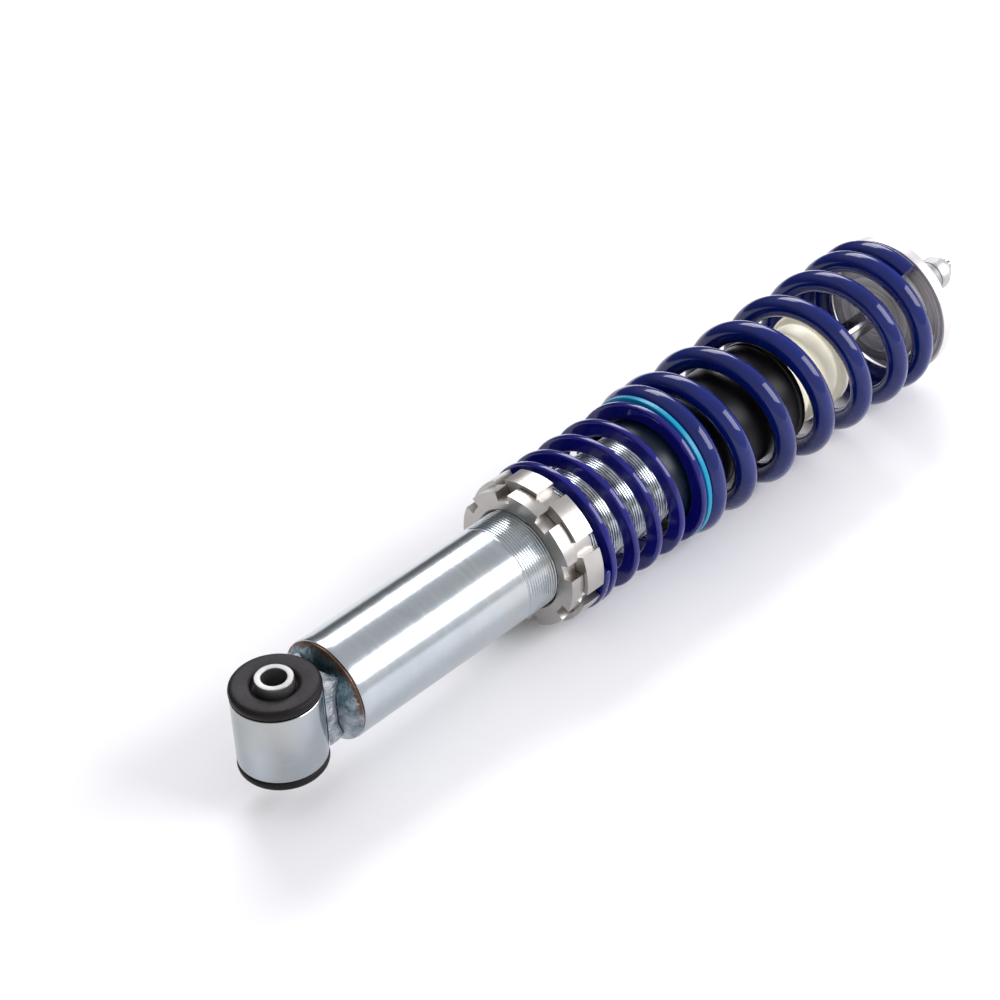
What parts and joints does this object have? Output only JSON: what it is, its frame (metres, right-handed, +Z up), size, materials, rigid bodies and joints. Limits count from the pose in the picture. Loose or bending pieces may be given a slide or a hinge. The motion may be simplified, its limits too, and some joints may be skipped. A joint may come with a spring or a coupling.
{
  "type": "coilover strut",
  "caption": "coilover suspension strut with a bushed lower eye, threaded damper body, two stacked springs, bump stop and clamped top plate",
  "frame": {"origin": "centre of the box that holds the strut, at the level of the floor it lies on", "axes": "+X runs along the strut from the lower eye to the threaded top, +Z is up and runs along the bore of the lower eye"},
  "size_m": [0.5, 0.0814, 0.0814],
  "materials": {
    "lower_eye": "zinc plated",
    "bush_rubber": "moulded rubber",
    "bush_sleeve": "zinc plated",
    "eye_weld": "weld bead, plated",
    "base_cap": "zinc plated",
    "damper_tube": "zinc plated, threaded upper half",
    "lock_ring": "turned",
    "perch_ring": "turned",
    "helper_spring": "gloss powder coat",
    "spring_separator": "moulded",
    "main_spring": "gloss powder coat",
    "dust_tube": "moulded",
    "bump_stop": "microcellular foam",
    "piston_rod": "hard chrome",
    "top_plate": "turned",
    "top_collar": "zinc plated",
    "spacer_sleeve": "zinc plated",
    "top_nut": "zinc plated",
    "nut_insert": "nylon",
    "pressure_tube": "drawn",
    "foot_valve": "sintered",
    "foot_valve_disc": "spring steel",
    "foot_valve_pin": "machined",
    "piston": "sintered",
    "piston_band": "filled PTFE",
    "rebound_shims": "spring steel",
    "compression_shims": "spring steel",
    "piston_nut": "machined",
    "rebound_stop": "moulded rubber",
    "rod_guide": "sintered",
    "guide_bush": "bronze bush",
    "rod_seal": "moulded rubber",
    "gland_nut": "machined",
    "gland_o_ring": "moulded rubber"
  },
  "bodies": {
    "damper_body": {"lower_eye": "lower_eye", "bush_rubber": "bush_rubber", "eye_weld": "eye_weld", "base_cap": "base_cap", "damper_tube": "damper_tube", "pressure_tube": "pressure_tube", "foot_valve": "foot_valve", "foot_valve_disc": "foot_valve_disc", "foot_valve_pin": "foot_valve_pin", "rod_guide": "rod_guide", "guide_bush": "guide_bush", "rod_seal": "rod_seal", "gland_nut": "gland_nut", "gland_o_ring": "gland_o_ring"},
    "eye_pin": {"bush_sleeve": "bush_sleeve"},
    "seat": {"helper_spring": "helper_spring"},
    "perch": {"perch_ring": "perch_ring"},
    "lock": {"lock_ring": "lock_ring"},
    "coil": {"spring_separator": "spring_separator", "main_spring": "main_spring"},
    "bumper": {"bump_stop": "bump_stop", "dust_tube": "dust_tube"},
    "rod": {"piston_rod": "piston_rod", "piston": "piston", "piston_band": "piston_band", "rebound_shims": "rebound_shims", "compression_shims": "compression_shims", "piston_nut": "piston_nut", "rebound_stop": "rebound_stop", "top_plate": "top_plate", "top_collar": "top_collar", "spacer_sleeve": "spacer_sleeve", "top_nut": "top_nut", "nut_insert": "nut_insert"}
  },
  "joints": [
    {"name": "bush_twist", "type": "hinge", "parent": "damper_body", "child": "eye_pin", "pos_m": [-0.22944, 0, 0.0407], "axis": [0, 0, 1], "range_deg": [-15, 15], "stiffness_Nm_per_rad": 1},
    {"name": "rod_slide", "type": "slide", "parent": "damper_body", "child": "rod", "axis": [1, 0, 0], "range_m": [-0.078, 0], "stiffness_N_per_m": 8000, "deforming": ["main_spring", "helper_spring"]},
    {"name": "bump_slide", "type": "slide", "parent": "damper_body", "child": "bumper", "axis": [1, 0, 0], "range_m": [-0.0272, 0]},
    {"name": "coil_slide", "type": "slide", "parent": "seat", "child": "coil", "axis": [1, 0, 0], "range_m": [-0.0391, 0]},
    {"name": "seat_slide", "type": "slide", "parent": "damper_body", "child": "seat", "axis": [1, 0, 0], "range_m": [-0.0045, 0]},
    {"name": "perch_turn", "type": "hinge", "parent": "seat", "child": "perch", "pos_m": [-0.07224, 0, 0.0407], "axis": [1, 0, 0], "range_deg": [-1082, 0]},
    {"name": "lock_turn", "type": "hinge", "parent": "seat", "child": "lock", "pos_m": [-0.08014, 0, 0.0407], "axis": [1, 0, 0], "range_deg": [-1082, 0]}
  ],
  "couplings": [
    {"joint": "bump_slide", "follows": "rod_slide", "ratio": 0.3475},
    {"joint": "coil_slide", "follows": "rod_slide", "ratio": 0.5},
    {"joint": "perch_turn", "follows": "seat_slide", "rad_per_m": 4188.8},
    {"joint": "lock_turn", "follows": "seat_slide", "rad_per_m": 4188.8}
  ]
}
